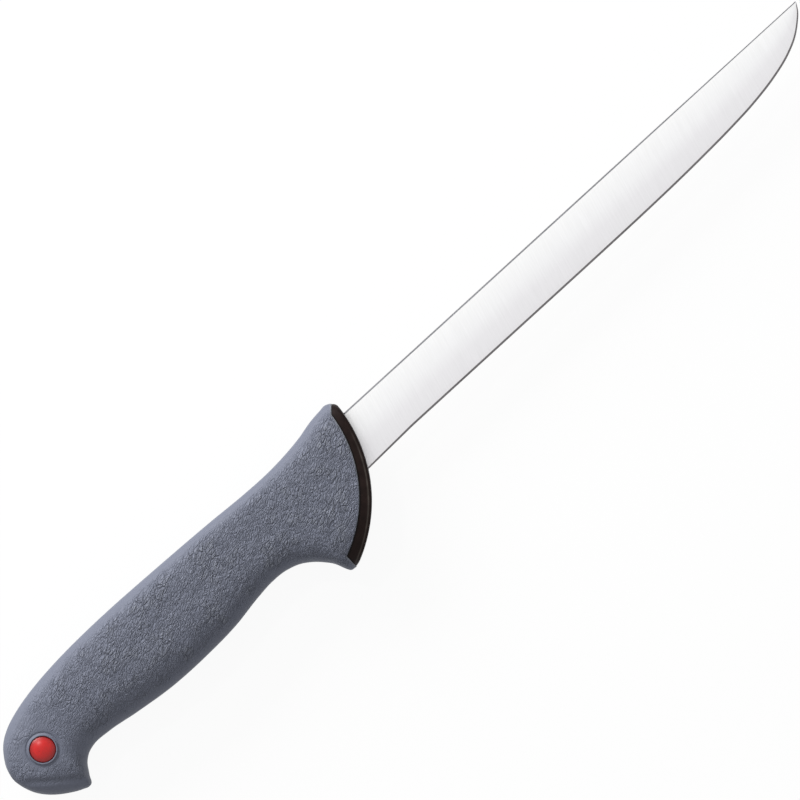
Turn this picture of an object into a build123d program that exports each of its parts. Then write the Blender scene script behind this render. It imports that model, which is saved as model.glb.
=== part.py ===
from build123d import *
from math import cos, pi, sin, sqrt
import os

import numpy as np

# Fillet knife with a moulded two-material handle, lying on its side.
# While a piece is made, X = 0 and Y = 0 are where the spine leaves the handle, X runs along
# the spine to the tip, Y points from the cutting edge to the spine, and Z = 0 is the blade's
# middle plane. At the end every piece moves so that the knife rests on Z = 0.
# All lengths are in millimetres.

# Blade: stainless strip, ground flat from spine to edge, its last part curving up to the tip
BLADE_LENGTH = 200.0
BLADE_WIDTH = 18.1
HEEL_WIDTH = 18.8
SPINE_THICKNESS = 1.8
TIP_THICKNESS = 0.7
EDGE_THICKNESS = 0.26
TIP_EDGE_THICKNESS = 0.16
HEEL_EDGE_THICKNESS = 1.0
BEVEL_WIDTH = 0.7
HEEL_BEVEL_WIDTH = 0.25
SPINE_EASE = 0.35
SPINE_EASE_DROP = 0.15
TIP_BLUNT = 0.45
TIP_BEVEL_SHARE = 0.33
HEEL_INSERT = 10.0
GRIND_RUN_OUT = 14.0

# Blade width along the tip's curve: places are shares of the blade's length, widths of its width
BELLY_SHARES = (
    (0.45, 1.0), (0.52, 0.998), (0.60, 0.99), (0.66, 0.977), (0.72, 0.953), (0.78, 0.918),
    (0.84, 0.857), (0.89, 0.762), (0.93, 0.636), (0.96, 0.478), (0.98, 0.307), (0.993, 0.159),
)

# Tang: the strip's full thickness, narrowing into the handle, locked by three holes. It ends
# a gap in front of the buttons' bore.
TANG_THICKNESS = 1.8
TANG_BUTTON_GAP = 17.5
TANG_OVERLAP = 2.5
TANG_FRONT_WIDTH = 12.5
TANG_END_WIDTH = 9.0
TANG_TOP_DROP = 3.0
TANG_END_DROP = 6.5
TANG_END_RADIUS = 3.0
LOCK_HOLE_DIAMETER = 6.0
LOCK_HOLE_COUNT = 3
LOCK_HOLE_FIRST = 30.0
LOCK_HOLE_LAST = 24.0

# Handle: outline and thickness
HANDLE_LENGTH = 160.0
HANDLE_DEPTH = 46.0
HANDLE_THICKNESS = 21.0
REST_FLAT_DEPTH = 0.15
SECTION_ROUNDNESS = 2.8
SECTION_POINTS = 16
BUTT_FLAT_SHARE = 0.0006

# Handle outline seen from the side: places from the butt are shares of the handle's length,
# heights above the spine line are shares of the handle's depth
TOP_SHARES = (
    (0.0, -0.342), (0.005, -0.238), (0.015, -0.173), (0.03, -0.107), (0.06, -0.037),
    (0.09, 0.002), (0.15, 0.049), (0.23, 0.081), (0.37, 0.097), (0.5, 0.089),
    (0.65, 0.072), (0.75, 0.055), (0.8, 0.054), (0.85, 0.065), (0.9, 0.089),
    (0.94, 0.12), (0.965, 0.13), (0.985, 0.133), (1.0, 0.102), (1.01, 0.066),
)
BOTTOM_SHARES = (
    (0.0, -0.342), (0.005, -0.447), (0.015, -0.521), (0.03, -0.585), (0.06, -0.667),
    (0.09, -0.722), (0.103, -0.737), (0.111, -0.727), (0.118, -0.681), (0.129, -0.616),
    (0.144, -0.568), (0.165, -0.54), (0.21, -0.541), (0.28, -0.577), (0.37, -0.611),
    (0.46, -0.613), (0.55, -0.593), (0.62, -0.553), (0.66, -0.539), (0.7, -0.549),
    (0.735, -0.595), (0.765, -0.682), (0.78, -0.747), (0.795, -0.852), (0.806, -0.863),
    (0.815, -0.866), (1.01, -0.866),
)
# Half thickness at the same places, as shares of the largest half thickness
THICKNESS_SHARES = (
    (0.0, 0.44), (0.005, 0.66), (0.015, 0.78), (0.03, 0.835), (0.06, 0.85),
    (0.1, 0.86), (0.17, 0.9), (0.27, 0.97), (0.38, 1.0), (0.5, 0.965),
    (0.6, 0.89), (0.67, 0.855), (0.74, 0.875), (0.8, 0.94), (0.86, 0.99),
    (0.9, 1.0), (0.95, 0.98), (1.01, 0.93),
)
# Places of the sections that the handle's skin passes through, closer at the hook and guard
SECTION_SHARES = (
    BUTT_FLAT_SHARE, 0.004, 0.012, 0.025, 0.045, 0.07, 0.09, 0.1, 0.106, 0.112, 0.118,
    0.125, 0.135, 0.15, 0.17, 0.2, 0.25, 0.31, 0.38, 0.45, 0.52, 0.58, 0.63, 0.67, 0.7,
    0.725, 0.745, 0.762, 0.776, 0.788, 0.798, 0.808, 0.82, 0.84, 0.87, 0.9, 0.93, 0.955,
    0.975, 0.99, 1.01,
)

# Handle front: one arc through the point where the spine leaves it
FRONT_RADIUS = 49.5
FRONT_RISE = 6.0
FRONT_ANGLE_UP = 30.0
FRONT_ANGLE_DOWN = 80.0
FRONT_EDGE_RADIUS = 0.6

# Black collar band between the front arc and a second arc, stopped short of the guard's tip
BAND_WIDTH = 4.4
BAND_SHIFT_X = 1.1
BAND_SHIFT_Y = 0.6
BAND_END_SHARE = 0.809375
BAND_TOP_TURN = 5.0
BAND_TOP_ANGLE = 49.0
BAND_SINK = 0.3

# Core: rigid moulding around the tang, inside the soft grip
CORE_THICKNESS = 12.0
CORE_CORNER_RADIUS = 4.0
# Corners of the core's outline, in the same shares as the handle's, from inside the band's
# top end along the spine side to the butt and back
CORE_SHARES = (
    (0.989, 0.052), (0.91, 0.043), (0.84, -0.01), (0.75, -0.033), (0.4, 0.013),
    (0.138, -0.043), (0.056, -0.109), (0.022, -0.326), (0.056, -0.543), (0.125, -0.565),
    (0.175, -0.446), (0.425, -0.533), (0.688, -0.446), (0.775, -0.522), (0.863, -0.674),
    (0.913, -0.565), (0.969, -0.261),
)

# Colour buttons: two halves that plug into each other through a bore in the butt
BUTTON_PLACE_SHARE = 0.089
BUTTON_HEIGHT_SHARE = -0.318
BUTTON_HEAD_DIAMETER = 8.6
BUTTON_HEAD_HEIGHT = 2.1
BUTTON_RIM_HEIGHT = 0.9
BUTTON_RIM_RADIUS = 0.45
RECESS_DIAMETER = 9.5
RECESS_DEPTH = 0.9
BORE_DIAMETER = 6.2
SLIDING_FIT = 0.08
TUBE_WALL = 1.0
TUBE_SLOT_WIDTH = 1.0
TUBE_SLOT_SHARE = 0.5
PLUG_END_GAP = 0.6
PLUG_TIP_EASE = 0.4
SNAP_BEAD_HEIGHT = 0.03
SNAP_BEAD_LENGTH = 0.8
SNAP_BEAD_BACK = 1.2

# One overrun serves every cut that has to pass right through
OVERRUN = 20.0


def smooth_at(shares, place):
    """Value at a place on the smooth curve through (place, value) pairs.

    A cubic joins neighbouring pairs, with slopes taken across each pair's two neighbours.
    Places count by their square root, which makes the handle's butt end round."""
    places, values = np.array(shares).T
    roots = np.sqrt(places)
    slopes = np.gradient(values, roots)
    first = min(np.searchsorted(roots, sqrt(place), side="right"), len(roots) - 1) - 1
    step = roots[first + 1] - roots[first]
    t = (sqrt(place) - roots[first]) / step
    ahead = t * t * (3 - 2 * t)
    value = values[first] + (values[first + 1] - values[first]) * ahead
    value += step * slopes[first] * t * (1 - t) ** 2
    return float(value - step * slopes[first + 1] * t * t * (1 - t))


def handle_x(place):
    """X of a place that is a share of the handle's length from the butt."""
    return (place - 1) * HANDLE_LENGTH


def handle_half(place):
    """Half thickness of the handle at a place, before the resting flats are cut."""
    return smooth_at(THICKNESS_SHARES, place) * (HANDLE_THICKNESS / 2 + REST_FLAT_DEPTH)


def handle_section(place, sink):
    """Rounded section across the handle at a place, taken in by sink all round.

    It is a superellipse: the power of the height share and that of the thickness share add
    up to one."""
    top = smooth_at(TOP_SHARES, place) * HANDLE_DEPTH - sink
    bottom = smooth_at(BOTTOM_SHARES, place) * HANDLE_DEPTH + sink
    half = handle_half(place) - sink
    power = 2 / SECTION_ROUNDNESS
    points = []
    for number in range(SECTION_POINTS):
        angle = 2 * pi * number / SECTION_POINTS
        across = np.sign(cos(angle)) * abs(cos(angle)) ** power
        up = np.sign(sin(angle)) * abs(sin(angle)) ** power
        y = (top + bottom) / 2 + (top - bottom) / 2 * across
        points.append(Vector(handle_x(place), float(y), float(half * up)))
    return Face(Wire([Spline(*points, periodic=True).edge()]))


def handle_stock(sink=0.0, first=0.0):
    """Full handle form from a place to just past the front arc, with its resting flats."""
    places = [place for place in SECTION_SHARES if place > first]
    form = loft([handle_section(place, sink) for place in places])
    slab = Box(
        2 * HANDLE_LENGTH + OVERRUN,
        2 * HANDLE_DEPTH + OVERRUN,
        HANDLE_THICKNESS - 2 * sink,
    )
    return (form & slab).solid()


def through_z(face):
    """A flat outline made into a prism that passes right through the handle."""
    return extrude(face, HANDLE_THICKNESS, both=True)


def front_centre():
    """Centre of the front arc, which passes through X = 0, Y = 0."""
    return Vector(-sqrt(FRONT_RADIUS**2 - FRONT_RISE**2), FRONT_RISE)


def on_arc(centre, radius, x):
    """Lower point of an arc at an X."""
    return Vector(x, centre.Y - sqrt(radius**2 - (x - centre.X) ** 2))


def behind_front():
    """Prism of everything behind the handle's front arc."""
    centre = front_centre()
    high = centre + Vector(FRONT_RADIUS, 0).rotate(Axis.Z, FRONT_ANGLE_UP)
    level = centre + Vector(FRONT_RADIUS, 0)
    low = centre + Vector(FRONT_RADIUS, 0).rotate(Axis.Z, -FRONT_ANGLE_DOWN)
    back_x = -HANDLE_LENGTH - OVERRUN
    floor_y = -HANDLE_DEPTH - OVERRUN
    outline = [
        ThreePointArc(high, level, low),
        Polyline(low, (low.X, floor_y), (back_x, floor_y), (back_x, high.Y), high),
    ]
    return through_z(make_face(outline))


def band_region():
    """Prism of the collar band: in front of its rear arc, between its two cut ends."""
    centre = front_centre() + Vector(BAND_SHIFT_X, BAND_SHIFT_Y)
    radius = FRONT_RADIUS - BAND_WIDTH
    low = on_arc(centre, radius, handle_x(BAND_END_SHARE))
    top = centre + Vector(radius, 0).rotate(Axis.Z, -BAND_TOP_TURN)
    half_way = (low - centre).get_angle(top - centre) / 2
    middle = centre + (top - centre).rotate(Axis.Z, -half_way)
    reach = HANDLE_DEPTH
    beyond = top + Vector(reach, 0).rotate(Axis.Z, BAND_TOP_ANGLE)
    floor_y = low.Y - reach
    outline = [
        ThreePointArc(low, middle, top),
        Polyline(top, beyond, (beyond.X, floor_y), (low.X, floor_y), low),
    ]
    return through_z(make_face(outline))


def core_body():
    """Inner body of the core: a thick plate with rounded corners."""
    corners = [(handle_x(place), height * HANDLE_DEPTH) for place, height in CORE_SHARES]
    outline = FilletPolyline(*corners, radius=CORE_CORNER_RADIUS, close=True)
    return extrude(make_face(outline), CORE_THICKNESS / 2, both=True)


def button_axis():
    """Where the buttons' bore crosses the blade's middle plane."""
    return Vector(handle_x(BUTTON_PLACE_SHARE), BUTTON_HEIGHT_SHARE * HANDLE_DEPTH)


def button_seat():
    """Height of the recess floor above the middle plane, from the skin's own height there."""
    top = smooth_at(TOP_SHARES, BUTTON_PLACE_SHARE)
    bottom = smooth_at(BOTTOM_SHARES, BUTTON_PLACE_SHARE)
    across = abs(BUTTON_HEIGHT_SHARE - (top + bottom) / 2) / ((top - bottom) / 2)
    share = (1 - across**SECTION_ROUNDNESS) ** (1 / SECTION_ROUNDNESS)
    return handle_half(BUTTON_PLACE_SHARE) * share - RECESS_DEPTH


def button_bore():
    """Through bore and the two recesses of the buttons, as one tool."""
    at = Pos(button_axis())
    tool = at * Cylinder(BORE_DIAMETER / 2, 2 * button_seat())
    for side in (1, -1):
        middle = side * (button_seat() + HANDLE_THICKNESS / 2)
        tool += at * Pos(0, 0, middle) * Cylinder(RECESS_DIAMETER / 2, HANDLE_THICKNESS)
    return tool


def blade_corners(x, width, spine, edge, bevel):
    """Corners of a section of the blade: eased spine, flat sides, bevels meeting at the edge."""
    shoulder = bevel - width
    half = spine / 2
    ease = SPINE_EASE * spine / SPINE_THICKNESS
    square = half - SPINE_EASE_DROP * spine / SPINE_THICKNESS
    return [
        Vector(x, 0, square),
        Vector(x, -ease, half),
        Vector(x, shoulder, edge / 2),
        Vector(x, -width, 0),
        Vector(x, shoulder, -edge / 2),
        Vector(x, -ease, -half),
        Vector(x, 0, -square),
    ]


def flat_corners(x):
    """Corners of the blade's section where it is ground to one constant wedge."""
    return blade_corners(x, BLADE_WIDTH, SPINE_THICKNESS, EDGE_THICKNESS, BEVEL_WIDTH)


def tip_corners(place, width_share):
    """Corners of a section of the curved part, which gets thinner towards the tip."""
    first = BELLY_SHARES[0][0]
    ahead = (place - first) / (1 - first)
    thinned = ahead * ahead * (3 - 2 * ahead)
    spine = SPINE_THICKNESS + (TIP_THICKNESS - SPINE_THICKNESS) * thinned
    edge = EDGE_THICKNESS + (TIP_EDGE_THICKNESS - EDGE_THICKNESS) * thinned
    width = width_share * BLADE_WIDTH
    bevel = min(BEVEL_WIDTH, width * TIP_BEVEL_SHARE)
    return blade_corners(place * BLADE_LENGTH, width, spine, edge, bevel)


def section_face(corners):
    """Flat face with these corners."""
    return Face(Wire.make_polygon(corners))


def skinned(sections):
    """Solid through sections with like-numbered corners, leaving the first one along X.

    A smooth rail runs through each corner, a ruled face joins neighbouring rails, and the
    first and last sections close the ends."""
    rails = []
    for corners in zip(*sections):
        leaving = corners[-1] - corners[-2]
        rails.append(Spline(*corners, tangents=[Vector(1, 0), leaving]).edge())
    faces = [section_face(sections[0]), section_face(sections[-1])]
    for number, rail in enumerate(rails):
        faces.append(Face.make_surface_from_curves(rails[number - 1], rail))
    return Solid(Shell(faces))


def tang():
    """Narrow strip that the handle is moulded on, with its lock holes."""
    front = TANG_OVERLAP - HEEL_INSERT
    back = button_axis().X + BORE_DIAMETER / 2 + TANG_BUTTON_GAP
    outline = Polyline(
        (front, -TANG_TOP_DROP),
        (front, -TANG_TOP_DROP - TANG_FRONT_WIDTH),
        (back, -TANG_END_DROP - TANG_END_WIDTH),
        (back, -TANG_END_DROP),
        close=True,
    )
    strip = extrude(make_face(outline), TANG_THICKNESS / 2, both=True)
    corners = strip.edges().filter_by(Axis.Z).group_by(Axis.X)[0]
    strip = fillet(corners, TANG_END_RADIUS)
    front_middle = -TANG_TOP_DROP - TANG_FRONT_WIDTH / 2
    end_middle = -TANG_END_DROP - TANG_END_WIDTH / 2
    pitch = (back + LOCK_HOLE_FIRST + LOCK_HOLE_LAST) / (LOCK_HOLE_COUNT - 1)
    for number in range(LOCK_HOLE_COUNT):
        x = -LOCK_HOLE_FIRST + number * pitch
        along = (x - front) / (back - front)
        middle = Pos(x, front_middle + (end_middle - front_middle) * along)
        strip -= middle * Cylinder(LOCK_HOLE_DIAMETER / 2, TANG_THICKNESS * 2)
    return strip


def make_blade():
    """Blade and tang in one piece."""
    heel = blade_corners(
        -HEEL_INSERT, HEEL_WIDTH, SPINE_THICKNESS, HEEL_EDGE_THICKNESS, HEEL_BEVEL_WIDTH
    )
    flat_start = section_face(flat_corners(GRIND_RUN_OUT))
    flat_end = section_face(flat_corners(BELLY_SHARES[0][0] * BLADE_LENGTH))
    run_out = loft([section_face(heel), flat_start], ruled=True)
    flat = loft([flat_start, flat_end], ruled=True)
    blunt = tip_corners(1, TIP_BLUNT / BLADE_WIDTH)
    curved = skinned([tip_corners(*pair) for pair in BELLY_SHARES] + [blunt])
    return (run_out + flat + curved + tang()).solid()


def make_core(blade):
    """Rigid core moulded round the tang, with the collar band in one piece with it."""
    behind_band = BAND_END_SHARE - OVERRUN / HANDLE_LENGTH
    band = handle_stock(BAND_SINK, behind_band) & (behind_front() & band_region())
    front = band.faces().filter_by(GeomType.CYLINDER).sort_by(Axis.X)[-1]
    band = fillet(front.edges(), FRONT_EDGE_RADIUS)
    core = band + core_body()
    core -= blade
    return (core - button_bore()).solid()


def make_grip():
    """Soft grip moulded over the core, from the butt to the guard's lips."""
    room = behind_front() - band_region() - core_body()
    return (handle_stock() & room).solid() - button_bore()


def button_head():
    """Domed head of a button half, its flat underside on Z = 0."""
    radius = BUTTON_HEAD_DIAMETER / 2
    rise = BUTTON_HEAD_HEIGHT - BUTTON_RIM_HEIGHT
    dome_radius = (radius**2 + rise**2) / (2 * rise)
    head = Pos(0, 0, BUTTON_HEAD_HEIGHT / 2) * Cylinder(radius, BUTTON_HEAD_HEIGHT)
    head &= Pos(0, 0, BUTTON_HEAD_HEIGHT - dome_radius) * Sphere(dome_radius)
    circles = head.edges().sort_by(SortBy.LENGTH)[-2:]
    return fillet(circles.sort_by(Axis.Z)[-1], BUTTON_RIM_RADIUS)


def tube_outer():
    """Outer radius of the tube of the rear button half."""
    return BORE_DIAMETER / 2 - SLIDING_FIT


def tube_inner():
    """Bore radius of that tube."""
    return tube_outer() - TUBE_WALL


def make_front_button():
    """Button half with a solid pin that plugs into the other half's tube."""
    seat = button_seat()
    length = 2 * seat - PLUG_END_GAP
    radius = tube_inner() - SLIDING_FIT
    pin = Pos(0, 0, seat - length / 2) * Cylinder(radius, length)
    pin = chamfer(pin.edges().sort_by(Axis.Z)[0], PLUG_TIP_EASE)
    bead_middle = seat - length + SNAP_BEAD_BACK + SNAP_BEAD_LENGTH / 2
    bead = Pos(0, 0, bead_middle) * Cylinder(radius + SNAP_BEAD_HEIGHT, SNAP_BEAD_LENGTH)
    return Pos(button_axis()) * (Pos(0, 0, seat) * button_head() + pin + bead)


def make_back_button():
    """Button half with a slotted tube that takes the other half's pin."""
    seat = button_seat()
    length = 2 * seat - PLUG_END_GAP
    tube = Pos(0, 0, length / 2 - seat) * Cylinder(tube_outer(), length)
    tube -= Pos(0, 0, length / 2 - seat) * Cylinder(tube_inner(), length)
    slot_length = length * TUBE_SLOT_SHARE
    slot = Pos(0, 0, length - seat - slot_length / 2) * Box(
        BORE_DIAMETER, TUBE_SLOT_WIDTH, slot_length
    )
    tube -= slot
    tube -= Rot(0, 0, 90) * slot
    head = Pos(0, 0, -seat) * (Rot(180, 0, 0) * button_head())
    return Pos(button_axis()) * (head + tube)


def resting_place():
    """Shift that puts the middle of the knife's outline on Z and its underside on Z = 0."""
    highest = max(height for place, height in TOP_SHARES) * HANDLE_DEPTH
    lowest = min(height for place, height in BOTTOM_SHARES) * HANDLE_DEPTH
    return Pos((HANDLE_LENGTH - BLADE_LENGTH) / 2, -(highest + lowest) / 2, HANDLE_THICKNESS / 2)


def make_all():
    """Every piece of the knife by name, in place."""
    blade = make_blade()
    core = make_core(blade)
    pieces = {
        "blade": blade,
        "handle_core": core,
        "soft_grip": make_grip(),
        "button_front": make_front_button(),
        "button_back": make_back_button(),
    }
    return {name: resting_place() * piece for name, piece in pieces.items()}


os.makedirs("parts", exist_ok=True)
for name, piece in make_all().items():
    export_step(piece, f"parts/{name}.step")
    print(name, round(piece.volume, 1), piece.bounding_box())
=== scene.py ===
from math import cos, radians, sin

import bpy
import numpy as np
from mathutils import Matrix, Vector


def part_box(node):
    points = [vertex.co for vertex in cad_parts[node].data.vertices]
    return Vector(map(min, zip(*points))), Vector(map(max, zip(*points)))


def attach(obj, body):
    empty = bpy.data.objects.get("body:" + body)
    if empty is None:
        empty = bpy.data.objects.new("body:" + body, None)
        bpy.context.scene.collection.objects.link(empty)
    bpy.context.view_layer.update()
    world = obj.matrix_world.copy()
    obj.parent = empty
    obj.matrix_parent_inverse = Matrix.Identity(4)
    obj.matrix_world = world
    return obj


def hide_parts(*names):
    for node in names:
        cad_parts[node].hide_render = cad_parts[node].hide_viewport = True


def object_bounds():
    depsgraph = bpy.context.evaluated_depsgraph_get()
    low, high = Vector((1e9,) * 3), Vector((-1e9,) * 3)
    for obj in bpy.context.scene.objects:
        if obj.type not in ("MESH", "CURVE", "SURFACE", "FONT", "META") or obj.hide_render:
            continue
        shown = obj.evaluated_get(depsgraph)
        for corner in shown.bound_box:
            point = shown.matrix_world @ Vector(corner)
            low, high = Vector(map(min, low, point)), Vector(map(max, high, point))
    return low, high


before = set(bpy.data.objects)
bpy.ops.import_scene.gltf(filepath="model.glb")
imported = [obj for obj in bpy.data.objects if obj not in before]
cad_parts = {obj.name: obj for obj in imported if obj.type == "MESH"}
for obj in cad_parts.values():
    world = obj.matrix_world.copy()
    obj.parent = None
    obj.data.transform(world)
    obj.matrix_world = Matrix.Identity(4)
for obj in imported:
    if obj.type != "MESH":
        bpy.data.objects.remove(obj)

MM = 0.001
cad_low, cad_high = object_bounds()

# View: straight down on the knife, which lies on its side with its tip up and to the right.
# The frame is square, and the lens is long enough to keep the spine and the edge parallel.
BLADE_LENGTH = 200.0
FRAME_WIDTH = 261.7
FRAME_CENTRE = (16.62, -9.04)
SPINE_ANGLE = 42.39
CAMERA_HEIGHT = 1500.0

# Every shape below is worked out in millimetres from the point where the spine leaves the
# handle, in the blade's middle plane: X to the tip, Y to the spine and Z out of this side.
blade_low, blade_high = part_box("blade")
START = np.array(
    [blade_high.x - BLADE_LENGTH * MM, blade_high.y, (blade_low.z + blade_high.z) / 2]
)

camera = bpy.data.objects.new("camera", bpy.data.cameras.new("camera"))
bpy.context.scene.collection.objects.link(camera)
bpy.context.scene.camera = camera
camera.data.lens = camera.data.sensor_width * CAMERA_HEIGHT / FRAME_WIDTH
camera.data.clip_end = 100.0
camera.location = START + MM * np.array([*FRAME_CENTRE, CAMERA_HEIGHT])
camera.rotation_euler = (0.0, 0.0, -radians(SPINE_ANGLE))
bpy.context.scene.view_settings.view_transform = "Standard"


# Room: a matt white table in a white room, lit by a large softbox low on the spine's side and
# a small one high above it. The camera and reflections see the room and most of the table as
# plain white, and the table keeps a faint shadow.
TABLE_WIDTH = 12000.0
TABLE_DROP = 0.05
WHITE_SHARE = 0.93
TABLE_HEX = "b4b4b6"
ROOM_STRENGTH = 0.45
LAMP_TARGET = (-60.0, -12.0, 0.0)


def linear(text):
    """Linear colour with alpha 1 of a six-digit sRGB hex value."""
    shares = np.array([int(text[at : at + 2], 16) for at in (0, 2, 4)]) / 255
    low, high = shares / 12.92, ((shares + 0.055) / 1.055) ** 2.4
    return (*np.where(shares > 0.04045, high, low), 1.0)


def add(tree, kind, inputs={}, **settings):
    """New shader node with its settings. An input is a value, or a socket to link from."""
    made = tree.nodes.new("ShaderNode" + kind)
    for name, value in settings.items():
        setattr(made, name, value)
    for name, value in inputs.items():
        if isinstance(value, bpy.types.NodeSocket):
            tree.links.new(value, made.inputs[name])
        else:
            made.inputs[name].default_value = value
    return made


def seen_rays(tree):
    """1 for rays from the camera, from a reflection or through glass, otherwise 0."""
    rays = add(tree, "LightPath")
    direct, glossy = rays.outputs["Is Camera Ray"], rays.outputs["Is Glossy Ray"]
    seen = add(tree, "Math", {0: direct, 1: glossy}, operation="MAXIMUM").outputs[0]
    glass = rays.outputs["Is Transmission Ray"]
    return add(tree, "Math", {0: seen, 1: glass}, operation="MAXIMUM").outputs[0]


def table_paper():
    """Matt white paper. Most of what the camera or a reflection sees is plain white."""
    material = bpy.data.materials.new("table_paper")
    material.use_nodes = True
    tree = material.node_tree
    tree.nodes.clear()
    lit = add(tree, "BsdfDiffuse", {"Color": linear(TABLE_HEX)})
    lit_white = add(tree, "BsdfDiffuse", {"Color": linear("ffffff")})
    white = add(tree, "Emission", {"Color": linear("ffffff"), "Strength": 1.0})
    seen = add(tree, "MixShader", {0: WHITE_SHARE, 1: lit_white.outputs[0], 2: white.outputs[0]})
    shown = add(tree, "MixShader", {0: seen_rays(tree), 1: lit.outputs[0], 2: seen.outputs[0]})
    add(tree, "OutputMaterial", {"Surface": shown.outputs[0]})
    return material


def square(name, width, height, material):
    """Flat square on the given height."""
    half = width / 2 * MM
    corners = [(-half, -half, height), (half, -half, height), (half, half, height)]
    mesh = bpy.data.meshes.new(name)
    mesh.from_pydata([*corners, (-half, half, height)], [], [(0, 1, 2, 3)])
    mesh.materials.append(material)
    made = bpy.data.objects.new(name, mesh)
    bpy.context.scene.collection.objects.link(made)
    return made


def softbox(name, width, height, power, distance, heading, rise):
    """Rectangular lamp that faces its target. Power is in watts, and heading and rise in
    degrees."""
    lamp = bpy.data.lights.new(name, "AREA")
    lamp.shape = "RECTANGLE"
    lamp.size, lamp.size_y = width * MM, height * MM
    lamp.energy = power
    made = bpy.data.objects.new(name, lamp)
    bpy.context.scene.collection.objects.link(made)
    turn, lift = radians(heading), radians(rise)
    away = np.array([cos(lift) * cos(turn), cos(lift) * sin(turn), sin(lift)])
    made.location = START + MM * (np.array(LAMP_TARGET) + distance * away)
    made.rotation_euler = Vector(away).to_track_quat("Z", "Y").to_euler()


def room_light():
    """Even soft light on the object, white where the camera or a reflection sees the room."""
    world = bpy.data.worlds.new("room")
    bpy.context.scene.world = world
    world.use_nodes = True
    tree = world.node_tree
    tree.nodes.clear()
    soft = add(tree, "Background", {"Color": linear("ffffff"), "Strength": ROOM_STRENGTH})
    white = add(tree, "Background", {"Color": linear("ffffff"), "Strength": 1.0})
    shown = add(tree, "MixShader", {0: seen_rays(tree), 1: soft.outputs[0], 2: white.outputs[0]})
    add(tree, "OutputWorld", {"Surface": shown.outputs[0]})


room_light()
softbox("low_softbox", width=800.0, height=430.0, power=14.2, distance=1000.0, heading=88.0, rise=21.0)
softbox("high_softbox", width=110.0, height=110.0, power=2.2, distance=1400.0, heading=94.0, rise=55.0)
table = square("table", TABLE_WIDTH, cad_low.z - TABLE_DROP * MM, table_paper())


# Blade: a strip of stainless steel, ground to a wedge from spine to edge and satin finished
# across its length. The spine's corners are eased, the edge has a narrow bevel, and the last
# part curves up to the tip. A plain tang runs back inside the handle.
BLADE_WIDTH = 18.12
HEEL_WIDTH = 18.9
SPINE_THICKNESS = 1.8
TIP_THICKNESS = 0.7
EDGE_THICKNESS = 0.26
TIP_EDGE_THICKNESS = 0.16
HEEL_EDGE_THICKNESS = 1.0
BEVEL_WIDTH = 0.7
HEEL_BEVEL_WIDTH = 0.55
TIP_BEVEL_SHARE = 0.33
SPINE_EASE = 0.35
SPINE_EASE_DROP = 0.24
SPINE_RISE = 0.2
TIP_BLUNT = 0.45
HEEL_INSERT = 10.0
GRIND_RUN_OUT = 14.0
SIDE_COLUMNS = 9
STRAIGHT_ROWS = 60
BELLY_ROWS = 260
BELLY_SHARES = (
    (0.45, 1.0), (0.52, 0.998), (0.60, 0.99), (0.66, 0.977), (0.72, 0.953), (0.78, 0.918),
    (0.84, 0.857), (0.89, 0.762), (0.93, 0.636), (0.96, 0.478), (0.98, 0.307), (0.993, 0.159),
)
BRUSH_LEAN = 14.4
BRUSH_SPACING = 0.42
BRUSH_LENGTH = 12.0
TANG_WIDTHS = (9.0, 12.5)
TANG_DROPS = (6.5, 3.0)
TANG_ENDS = (-125.16, -7.5)


def piece(name, points, faces, materials, slots=0):
    """Mesh object from points in millimetres from the blade's start. A corner that a face names
    twice counts once. slots is the material number of every face, or one number for each."""
    mesh = bpy.data.meshes.new(name)
    corners = [list(dict.fromkeys(map(int, face))) for face in faces]
    mesh.from_pydata((START + MM * points).tolist(), [], corners)
    for material in materials:
        mesh.materials.append(material)
    mesh.polygons.foreach_set("material_index", np.broadcast_to(slots, len(faces)).astype(np.int32))
    mesh.shade_smooth()
    mesh.validate()
    made = bpy.data.objects.new(name, mesh)
    bpy.context.scene.collection.objects.link(made)
    return made


def curve_through(points, count):
    """Smooth curve through points, read at evenly spaced shares of its chord length.

    Each coordinate is a cubic between neighbouring points, with the mean slope at each."""
    points = np.array(points, float)
    chord = np.linalg.norm(np.diff(points, axis=0), axis=1)
    at = np.concatenate([[0], np.cumsum(chord)])
    slopes = np.gradient(points, at, axis=0)
    read = np.linspace(0, at[-1], count)
    first = np.clip(np.searchsorted(at, read, side="right") - 1, 0, len(at) - 2)
    step = (at[first + 1] - at[first])[:, None]
    t = (read - at[first])[:, None] / step
    line = points[first] + (points[first + 1] - points[first]) * t * t * (3 - 2 * t)
    swing = slopes[first] * (1 - t) - slopes[first + 1] * t
    return line + step * t * (1 - t) * swing


def blade_outline():
    """X, width, spine and edge thickness and bevel width at each row from heel to tip."""
    first = BELLY_SHARES[0][0]
    tip = (1.0, TIP_BLUNT / BLADE_WIDTH)
    belly = np.array([*BELLY_SHARES, tip]) * (BLADE_LENGTH, BLADE_WIDTH)
    curve = curve_through(belly, BELLY_ROWS)
    straight = np.linspace(GRIND_RUN_OUT, first * BLADE_LENGTH, STRAIGHT_ROWS)
    x = np.concatenate([[-HEEL_INSERT], straight, curve[1:, 0]])
    width = np.concatenate([[HEEL_WIDTH], np.full(STRAIGHT_ROWS, BLADE_WIDTH), curve[1:, 1]])
    ahead = np.clip((x / BLADE_LENGTH - first) / (1 - first), 0, 1)
    thinned = ahead * ahead * (3 - 2 * ahead)
    spine = SPINE_THICKNESS + (TIP_THICKNESS - SPINE_THICKNESS) * thinned
    edge = EDGE_THICKNESS + (TIP_EDGE_THICKNESS - EDGE_THICKNESS) * thinned
    edge[0] = HEEL_EDGE_THICKNESS
    bevel = np.minimum(BEVEL_WIDTH, width * TIP_BEVEL_SHARE)
    bevel[0] = HEEL_BEVEL_WIDTH
    return x, width, spine, edge, bevel


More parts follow.
